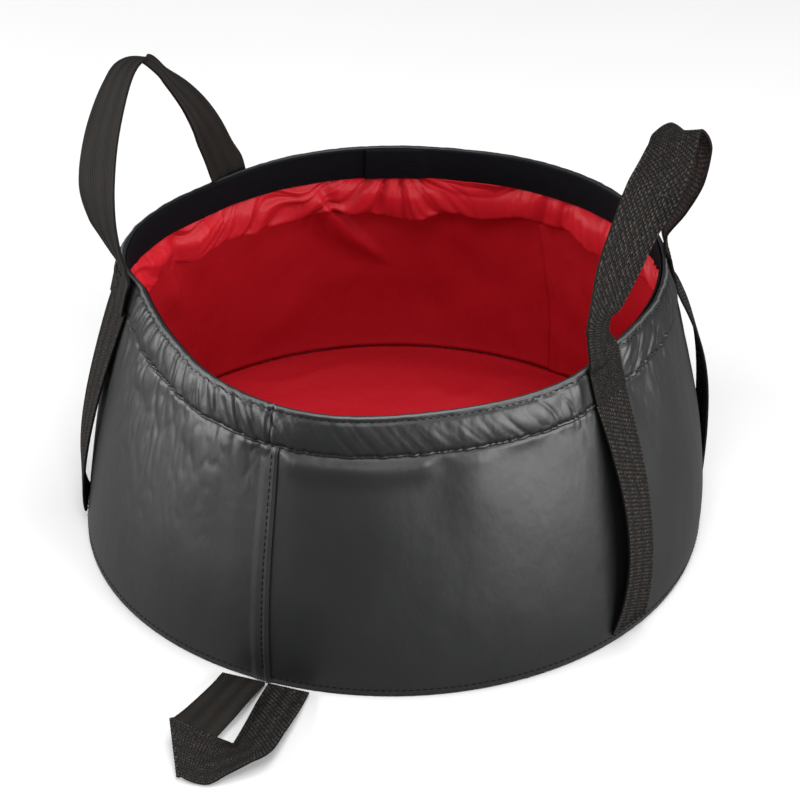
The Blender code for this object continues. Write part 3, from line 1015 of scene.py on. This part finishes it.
    def build(self) -> list[bpy.types.Object]:
        """Make every piece of the lining."""
        bottom, half = self.bowl.fabric + self.bowl.gap, self.tape_half_angle
        pieces = [self.base(), *(self.wall(name, seam) for name, _, seam in self.seams)]
        ring = (self.ring_start, self.ring_start + 360)
        pieces.append(self.tape("base_seam_tape", ring, (bottom, bottom + self.tape_width)))
        for _, name, seam in self.seams:
            pieces.append(self.tape(name, (seam - half, seam + half), self.tape_heights))
        return pieces


@dataclass
class Rim(Assembly):
    """The gathered casing, the band inside it and their stitches."""

    slit: float = -93
    crest: float = 1.1 * MM
    edge_stitches: float = 2.3 * MM
    overhang: float = 1.2 * MM
    foot_share: float = 0.08
    cut_length: float = 930 * MM
    fold_depth: float = 2.3 * MM
    tuck_depth: float = 0.9 * MM
    puff: float = 1.5 * MM
    edge_groove: float = 0.6 * MM
    foot_groove: float = 0.7 * MM
    slit_depth: float = 1.3 * MM
    lip_height: float = 0.7 * MM
    band_end: float = 105
    band_lap: float = 12
    band_radius: float = 128 * MM
    band_dip: float = 1.4 * MM
    rib: float = 1.25 * MM
    rib_depth: float = 0.07 * MM
    leans: Table = (
        (-178, 0), (-150, 3), (-110, -2), (-92, -5), (-60, -7), (-42, -6), (-32, -1), (-20, 3), (-8, 8),
        (20, 6), (60, 2), (120, -3),
    )

    def gathers(self, azimuth: float, share: float) -> float:
        """How far the casing's outer leaf stands out, share of the way up it.

        Args:
            azimuth: Degrees.
            share: 0 at the stitches below and 1 at the shoulder above.

        Returns:
            Metres, outwards.
        """
        bowl = self.bowl
        strength = bowl.gathering(azimuth)
        height = self.foot_height + share * bowl.casing_height
        leaning = azimuth - around(azimuth, self.leans) * share
        broad = puckers(leaning, height, 14, 16, 0.4)
        narrow = puckers(leaning, height, 33, 40, 4.1)
        crossing = drift(azimuth, height, 26, 120, 2.7)
        envelope = 0.5 + 0.5 * math.sin(math.pi * min(share, 1.0)) ** 0.7
        folds = (0.6 * broad + 0.3 * narrow + 0.2 * crossing) * self.fold_depth * strength * envelope
        tucks = window(share, 0.02, 0.1, 0.12) * (puckers(azimuth, height, 30, 30, 7.3) - 0.5)
        folds += tucks * self.tuck_depth
        puff = self.puff * math.sin(math.pi * min(share * 1.05, 1.0)) ** 0.8
        puff *= 1 - 0.6 * min(strength, 1.2)
        # The two rows of stitches draw the leaf in, and its ends meet at a slit with a raised lip.
        groove = self.edge_groove * bell(share - self.edge_share, 0.045)
        foot = self.foot_groove * bell(share - self.foot_share, 0.05)
        foot *= 1 - 0.6 * window(azimuth, -152, -108, 8)
        slit = self.slit_depth * bell(turned_apart(azimuth, self.slit), 0.3)
        lip = self.lip_height * bell(turned_apart(azimuth, self.slit - 1.1), 0.5)
        return (folds + puff + lip) * bowl.hold(azimuth) - groove - foot - slit

    @property
    def foot_height(self) -> float:
        """The height of the leaf's lower edge, which hides the top of the wall."""
        return self.bowl.stitch_height - self.overhang

    @property
    def shoulder(self) -> float:
        """The height at which the leaf turns over the crest."""
        return self.bowl.rim_height - self.bowl.fabric / 2 - self.crest

    @property
    def edge_share(self) -> float:
        """How far up the leaf the edge stitches run."""
        above = self.bowl.rim_height - self.shoulder
        return 1 - (self.edge_stitches - above) / (self.bowl.casing_height - above)

    def leaf_height(self, share: float) -> float:
        """The height at a share of the way up the leaf."""
        return self.foot_height + (self.shoulder - self.foot_height) * share

    def casing(self) -> bpy.types.Object:
        """The fold of outer cloth round the rim: up its outer leaf, over the top and down its inner one."""
        bowl = self.bowl
        half = bowl.fabric / 2
        inner = half - bowl.casing_depth
        leaf_share, crest_share = 0.62, 0.8

        def place(along: float, over: float) -> Vector:
            """A point of the fold, over it from the outer leaf's foot to the inner one's."""
            azimuth = self.slit + 360 * along
            if over <= leaf_share:
                share = over / leaf_share
                return bowl.point(azimuth, self.leaf_height(share), self.gathers(azimuth, share) - half)
            if over <= crest_share:
                turn = math.pi * (over - leaf_share) / (crest_share - leaf_share)
                outside = self.gathers(azimuth, 1.0) - half
                middle, reach = (outside + inner) / 2, (outside - inner) / 2
                height = self.shoulder + self.crest * math.sin(turn)
                return bowl.point(azimuth, height, middle + reach * math.cos(turn))
            share = (over - crest_share) / (1 - crest_share)
            return bowl.point(azimuth, self.shoulder + (bowl.stitch_height - self.shoulder) * share, inner)

        flat = (self.cut_length, 2 * bowl.casing_height + 8 * MM)
        piece = self.hands.cloth(
            "rim_casing_cloth", (1200, 40), place, flat, bowl.fabric, [self.closet.casing], joined=True
        )
        self.stand_in(piece, "casing_fabric", "rim_casing")
        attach(piece, "rim")
        return piece

    def band(self) -> bpy.types.Object:
        """The ribbed band inside the rim, whose last stretch laps over its first."""
        bowl = self.bowl
        middle = bowl.casing_depth + bowl.gap + bowl.band_thickness / 2
        top = bowl.rim_height - bowl.gap
        span = 360 + self.band_lap

        def place(along: float, up: float) -> Vector:
            """A point of the band."""
            turned = span * along
            azimuth = self.band_end + turned
            lap = (bowl.band_thickness + bowl.gap) * smoothstep((turned - 356.5) / 3)
            wavy = 0.25 * MM * drift(azimuth, 0, 9, 0, 1.1)
            rib = self.rib_depth * math.cos(2 * math.pi * up * bowl.band_height / self.rib)
            dip = self.band_dip * window(azimuth, 195, 355, 12)
            height = top - bowl.band_height * (1 - up) + wavy * (1 - up) - dip * up
            return bowl.point(azimuth, height, rib - middle - lap)

        flat = (math.radians(span) * self.band_radius, bowl.band_height)
        piece = self.hands.cloth(
            "rim_webbing_band", (500, 64), place, flat, bowl.band_thickness, [self.closet.band],
            soft_edge=0.25 * MM,
        )
        self.stand_in(piece, "rim_webbing", "rim_webbing")
        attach(piece, "rim")
        return piece

    def threads(self) -> list[bpy.types.Object]:
        """The stitches just under the rim's edge, and those that close the casing."""
        pieces = []
        proud = self.hands.thread_radius * 0.3
        for name, share in (("rim_edge_thread", self.edge_share), ("casing_thread", self.foot_share)):
            height = self.leaf_height(share)
            azimuths = [self.slit + i / 4 for i in range(1441)]
            line = [self.bowl.point(at, height, self.gathers(at, share) + proud) for at in azimuths]
            pieces.append(self.sewn(name, [line], "casing_fabric"))
            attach(pieces[-1], "rim")
        return pieces

    def build(self) -> list[bpy.types.Object]:
        """Make every piece of the rim, and finish its hoop."""
        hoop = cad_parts["rim_hoop"]
        hoop.data.materials.clear()
        hoop.data.materials.append(self.closet.plastic)
        return [self.casing(), self.band(), *self.threads()]


@dataclass(frozen=True)
class StrapRun:
    """Where one of the four sewn strap runs goes.

    Its azimuths at the rim and at the foot, how far it bows out and how far up it does so most, how far its
    left edge lifts there, and the azimuth of the line across it where it is sewn to the rim.
    """

    name: str
    rim: float
    foot: float
    bow: float
    deepest: float
    lift: float
    tangent: float


@dataclass
class Straps(Assembly):
    """The webbing: four legs, two handle loops and the pull loop."""

    width: float = 25 * MM
    thickness: float = 1.3 * MM
    rib: float = 1.5 * MM
    rib_depth: float = 0.09 * MM
    leg_bottom: float = 7 * MM
    stitch_inset: float = 3 * MM
    box_margin: float = 2.5 * MM
    foot_rows: Sequence[float] = (2.5 * MM, 4.5 * MM)
    leg_steps: int = 90
    route_steps: int = 14
    runs: Sequence[StrapRun] = (
        StrapRun("left_front", 202, 200.5, 3.2 * MM, 0.34, 2.8 * MM, 127),
        StrapRun("left_rear", 152, 152, 5 * MM, 0.5, 0.0, 60),
        StrapRun("right_front", -20, -23, 3 * MM, 0.5, 7 * MM, 75),
        StrapRun("right_rear", 29, 28.5, 6 * MM, 0.66, 0.0, -66),
    )
    left_route: Stations = (
        (-123, -49.5, 148.9, -49, 8), (-126.3, -50.7, 158.6, -43, 11), (-130.1, -50.5, 170.9, -32, 18),
        (-134.3, -45, 187.9, -19, 19), (-136.5, -31.1, 208.1, -21, 20), (-136.4, -11.5, 226.2, -24, 28),
        (-133.8, 2.5, 230.4, -32, 21), (-125.6, 7.1, 226.7, -54, 2), (-119.2, 14.5, 212.8, -52, -17),
        (-115.9, 26.8, 196.7, -64, -33), (-115.2, 38.6, 181.2, -80, -35), (-114.6, 48.5, 166.6, -89, -30),
        (-113.8, 55.6, 153.2, -95, -17), (-112.4, 58.8, 145, -105, -7),
    )
    right_route: Stations = (
        (119.8, -45.1, 150, 87, 3), (119.2, -44.6, 159.1, 83, -5), (121.3, -43.1, 168.7, 71, -23),
        (124.5, -33.6, 186.8, 49, -31), (129.3, -19.8, 206.3, 31, -33), (134.4, -7.1, 221.1, -6, -10),
        (136.2, 5.2, 231, -8, 11), (135.8, 16.1, 234.1, -4, 17), (139.2, 28.6, 226.2, -25, -10),
        (139.9, 38.4, 207.3, -58, -27), (132.2, 49.5, 185.1, -72, -30), (123.4, 58.7, 165.2, -84, -26),
        (119.8, 64.2, 152.6, -75, -20), (119.5, 66.2, 144, -66, 0),
    )
    pull_hinge_y: float = -158.2 * MM
    pull_left: Sequence[tuple[Point, Point]] = (
        ((-27, -158.2, 1.3), (-5, -158.2, 1.3)), ((-26.9, -170.4, 3.5), (-5.1, -171.3, 4.2)),
        ((-27.5, -187.4, 7), (-5.8, -189.2, 6)), ((-28.4, -200.3, 9.8), (-8.9, -208.6, 5)),
        ((-30, -208.3, 11), (-14.9, -235.3, 1.2)),
    )
    pull_fold: tuple[Point, Point] = ((-30.4, -209.8, 11.9), (-15.4, -236.7, 2.1))
    pull_right: Sequence[tuple[Point, Point]] = (
        ((-29.1, -210.2, 12.8), (-14, -237, 3)), ((-19.9, -211.5, 11.5), (-6.8, -237.7, 2.2)),
        ((-9.1, -211.3, 8.5), (-0.2, -236, 2)), ((-3.3, -208.8, 5), (6.4, -230, 5)),
        ((-1.1, -206.6, 2.5), (14, -222.5, 8)), ((-1.4, -202.4, 1), (20.3, -212, 8.5)),
        ((-2, -188.5, 0.9), (20.6, -194.3, 7.5)), ((-3, -172.9, 0.9), (19.5, -175.8, 4.5)),
        ((-3.2, -158.2, 1.3), (17.5, -158.2, 1.3)),
    )

    @property
    def seated(self) -> float:
        """How far off the wall the middle of webbing lies that is stitched to it."""
        return 1.3 * self.bowl.gap + self.thickness / 2

    def smooth(self, stations: Sequence[Vector]) -> list[Vector]:
        """The stations, with more between them on a smooth curve."""
        padded = [2 * stations[0] - stations[1], *stations, 2 * stations[-1] - stations[-2]]
        made = [
            catmull_rom(*padded[i : i + 4], step / self.route_steps)
            for i in range(len(padded) - 3)
            for step in range(self.route_steps)
        ]
        return [*made, stations[-1]]

    def strip(
        self, name: str, edges: Sequence[tuple[Vector, Vector]], materials: Sequence[bpy.types.Material]
    ) -> bpy.types.Object:
        """Webbing between two edges, ribbed along its length.

        Args:
            name: The piece's name.
            edges: Pairs of points, one on each edge, close together along it.
            materials: The finishes of its two faces.

        Returns:
            The piece.
        """
        middles = [(left + right) / 2 for left, right in edges]
        normals = []
        for i, (left, right) in enumerate(edges):
            ahead = middles[min(i + 1, len(edges) - 1)] - middles[max(i - 1, 0)]
            normals.append(ahead.cross(right - left).normalized())
        ribs = round(self.width / self.rib)
        last = len(edges) - 1

        def place(along: float, across: float) -> Vector:
            """A point of the webbing."""
            spot = along * last
            i = min(int(spot + 1e-6), last - 1)
            share = spot - i
            left = edges[i][0].lerp(edges[i + 1][0], share)
            right = edges[i][1].lerp(edges[i + 1][1], share)
            normal = normals[i].lerp(normals[i + 1], share)
            rib = self.rib_depth * math.cos(2 * math.pi * ribs * across)
            return left.lerp(right, across) + normal * rib

        grid, flat = (last, ribs * 4), (measured(middles)[-1], self.width)
        return self.hands.cloth(name, grid, place, flat, self.thickness, materials, soft_edge=0.35 * MM)

    def on_rim(self, run: StrapRun, height: float) -> Vector:
        """The middle of a strap where it is sewn to the casing."""
        return self.bowl.point(run.rim, height, self.seated)

    def handle(self, side: str, route: Stations, face: bpy.types.Material) -> bpy.types.Object:
        """One carry handle with the stitched ends that hold it, in one length of webbing.

        Args:
            side: Left or right.
            route: Where its loop runs. Each station has x, y and z in millimetres, and the azimuth and rise
                of the line across the webbing.
            face: Its finish.

        Returns:
            The piece.
        """
        front, rear = (run for run in self.runs if run.name.startswith(side))
        low = self.bowl.stitch_height
        heights = [low, low + 6 * MM, low + 12 * MM, self.bowl.rim_height]
        turn = route[0][3] - 180 * round((route[0][3] - front.tangent) / 180)
        start = front.tangent + route[0][3] - turn
        stations = [Vector((*self.on_rim(front, height), start, 0)) for height in heights]
        stations += [Vector((x * MM, y * MM, z * MM, azimuth, rise)) for x, y, z, azimuth, rise in route]
        end = route[-1][3] + (rear.tangent - route[-1][3] + 90) % 180 - 90
        stations += [Vector((*self.on_rim(rear, height), end, 0)) for height in reversed(heights[:-1])]
        stations = self.smooth(stations)
        edges = []
        for i, station in enumerate(stations):
            before, after = stations[max(i - 1, 0)], stations[min(i + 1, len(stations) - 1)]
            along = (Vector(after[:3]) - Vector(before[:3])).normalized()
            across = heading(station[3], station[4])
            across = (across - across.dot(along) * along).normalized() * self.width / 2
            middle = Vector(station[:3])
            edges.append((middle - across, middle + across))
        piece = self.strip(f"{side}_handle_webbing", edges, [face])
        nodes = (f"{side}_handle", f"{side}_front_anchor", f"{side}_rear_anchor")
        self.stand_in(piece, "strap_webbing", *nodes)
        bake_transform(piece)
        return piece

    def leg(self, run: StrapRun) -> bpy.types.Object:
        """A leg's free webbing, from the casing down to the base seam."""
        bowl = self.bowl
        span = bowl.stitch_height - bowl.gap - self.leg_bottom
        edges = []
        for i in range(self.leg_steps + 1):
            share = i / self.leg_steps
            height = self.leg_bottom + span * share
            azimuth = run.foot + (run.rim - run.foot) * share
            arch = math.sin(math.pi * share ** (math.log(0.5) / math.log(run.deepest)))
            half = math.degrees(self.width / 2 / bowl.wall_radius(azimuth, height))
            off = self.seated + run.bow * arch
            left = bowl.point(azimuth - half, height, off + run.lift * arch)
            edges.append((left, bowl.point(azimuth + half, height, off)))
        piece = self.strip(f"{run.name}_leg_webbing", edges, [self.closet.twill])
        self.stand_in(piece, "strap_webbing", f"{run.name}_leg")
        bowl.squash(piece)
        return piece

    def pull_loop(self) -> bpy.types.Object:
        """The loop at the foot of the front seam, with its diagonal fold."""
        lower = self.smooth([Vector((*outer, *inner)) for outer, inner in self.pull_left])
        fold = Vector((*self.pull_fold[0], *self.pull_fold[1]))
        upper = self.smooth([Vector((*outer, *inner)) for outer, inner in self.pull_right])
        edges = [(Vector(pair[:3]) * MM, Vector(pair[3:]) * MM) for pair in [*lower, fold, *upper]]
        piece = self.strip("pull_loop_webbing", edges, [self.closet.ribbed, self.closet.twill])
        self.stand_in(piece, "strap_webbing", "pull_loop")
        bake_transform(piece)
        return piece

    def threads(self) -> list[bpy.types.Object]:
        """The box of stitches that holds each strap to the casing, and the rows across each foot."""
        bowl = self.bowl
        off = self.seated + self.thickness / 2 + self.hands.thread_radius * 0.2
        pieces = []
        for run in self.runs:
            reach = self.width / 2 - self.stitch_inset
            half = math.degrees(reach / bowl.wall_radius(run.rim, bowl.rim_height))
            low, high = bowl.stitch_height + self.box_margin, bowl.rim_height - self.box_margin
            corners = [(-1, low), (1, low), (1, high), (-1, high), (-1, low), (1, high), (-1, high), (1, low)]
            line = []
            for (start, bottom), (end, top) in zip(corners, corners[1:]):
                for i in range(12):
                    share = i / 12
                    azimuth = run.rim + half * (start + (end - start) * share)
                    line.append(bowl.point(azimuth, bottom + (top - bottom) * share, off))
            box = self.sewn(f"{run.name}_anchor_thread", [line], "strap_webbing")
            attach(box, "rim")
            foot = []
            for rise in self.foot_rows:
                azimuths = [run.foot + half * (i / 10 - 1) for i in range(21)]
                foot.append([bowl.point(at, self.leg_bottom + rise, off + 0.35 * MM) for at in azimuths])
            rows = self.sewn(f"{run.name}_foot_thread", foot, "strap_webbing")
            bowl.squash(rows)
            pieces += [box, rows]
        return pieces

    def build(self) -> list[bpy.types.Object]:
        """Make every piece of webbing."""
        closet = self.closet
        pieces = [self.leg(run) for run in self.runs]
        pieces.append(self.handle("left", self.left_route, closet.ribbed))
        pieces.append(self.handle("right", self.right_route, closet.twill))
        return [*pieces, self.pull_loop(), *self.threads()]


@dataclass
class Studio:
    """A pale floor, soft lights, and the camera at the photograph's angle."""

    spin: float = 20.5
    pitch: float = 32.957
    distance: float = 1.59987
    aim: tuple[float, float] = (0.003968, 0.065708)
    roll: float = -0.10258
    lens: float = 144.0
    middle_height: float = 80 * MM
    floor_size: float = 6.0
    room_light: float = 0.34

    def floor(self) -> None:
        """Lay the floor."""
        shape = bmesh.new()
        bmesh.ops.create_grid(shape, x_segments=1, y_segments=1, size=self.floor_size)
        mesh = bpy.data.meshes.new("studio_floor")
        shape.to_mesh(mesh)
        shape.free()
        bench = Bench("pale studio paper")
        mottle = bench.cloud(bench.object_place(), scale=3, detail=2)
        paper = bench.mixed(mottle, (0.53, 0.53, 0.53), (0.55, 0.55, 0.55))
        mesh.materials.append(bench.finish(Base_Color=paper, Roughness=0.9))
        floor = bpy.data.objects.new("studio_floor", mesh)
        floor.location.z = -0.4 * MM
        floor.visible_glossy = False
        bpy.context.scene.collection.objects.link(floor)

    def softbox(
        self,
        name: str,
        azimuth: float,
        elevation: float,
        distance: float,
        size: tuple[float, float],
        power: float,
    ) -> None:
        """Hang a soft light that faces the basin.

        Args:
            name: The light's name.
            azimuth: Degrees anticlockwise from the camera's right, as the photograph sees it.
            elevation: Degrees above the floor.
            distance: Metres.
            size: Metres.
            power: Watts.
        """
        light = bpy.data.lights.new(name, "AREA")
        light.shape = "RECTANGLE"
        light.size, light.size_y = size
        light.energy = power
        lamp = bpy.data.objects.new(name, light)
        back = heading(azimuth + self.spin, elevation)
        lamp.location = back * distance + Vector((0, 0, self.middle_height))
        lamp.rotation_euler = (-back).to_track_quat("-Z", "Y").to_euler()
        lamp.visible_camera = False
        bpy.context.scene.collection.objects.link(lamp)

    def camera(self) -> None:
        """Stand the camera where the photograph was taken from."""
        pitch, spin = math.radians(self.pitch), Matrix.Rotation(math.radians(self.spin), 3, "Z")
        forward = spin @ Vector((0, math.cos(pitch), -math.sin(pitch)))
        target = spin @ Vector((self.aim[0], 0, self.aim[1]))
        lens = bpy.data.cameras.new("photograph_camera")
        lens.lens = self.lens
        lens.sensor_width = 36
        lens.clip_end = 50
        camera = bpy.data.objects.new("photograph_camera", lens)
        upright = forward.to_track_quat("-Z", "Y").to_matrix()
        camera.matrix_world = Matrix.Translation(target - forward * self.distance) @ (
            upright @ Matrix.Rotation(math.radians(self.roll), 3, "Z")
        ).to_4x4()
        bpy.context.scene.collection.objects.link(camera)
        bpy.context.scene.camera = camera

    def world(self) -> None:
        """Fill the room with even white light."""
        world = bpy.data.worlds.new("white room")
        world.use_nodes = True
        background = world.node_tree.nodes["Background"]
        background.inputs[0].default_value = (1, 1, 1, 1)
        background.inputs[1].default_value = self.room_light
        bpy.context.scene.world = world

    def build(self) -> None:
        """Set up the studio."""
        bpy.context.scene.view_settings.view_transform = "Standard"
        self.camera()
        self.floor()
        self.world()
        self.softbox("right_softbox", -35, 13, 1.3, (1.2, 0.62), 36)
        self.softbox("left_softbox", -172, 16, 1.3, (1.3, 0.75), 34)
        self.softbox("top_softbox", 20, 80, 2.2, (1.0, 1.0), 28)
        self.softbox("front_softbox", -90, 55, 2.2, (1.0, 0.8), 30)


def main() -> None:
    """Build every sub-assembly in order, and report its pieces."""
    logging.basicConfig(level=logging.INFO, format="%(name)s: %(message)s")
    Studio().build()
    bowl, hands, closet = Bowl(), Seamstress(), Closet()
    for assembly in (Rim, OuterShell, Lining, Straps):
        for piece in assembly(bowl, hands, closet).build():
            LOG.info("%s has %d faces", piece.name, len(piece.data.polygons))


if __name__ == "__main__":
    main()
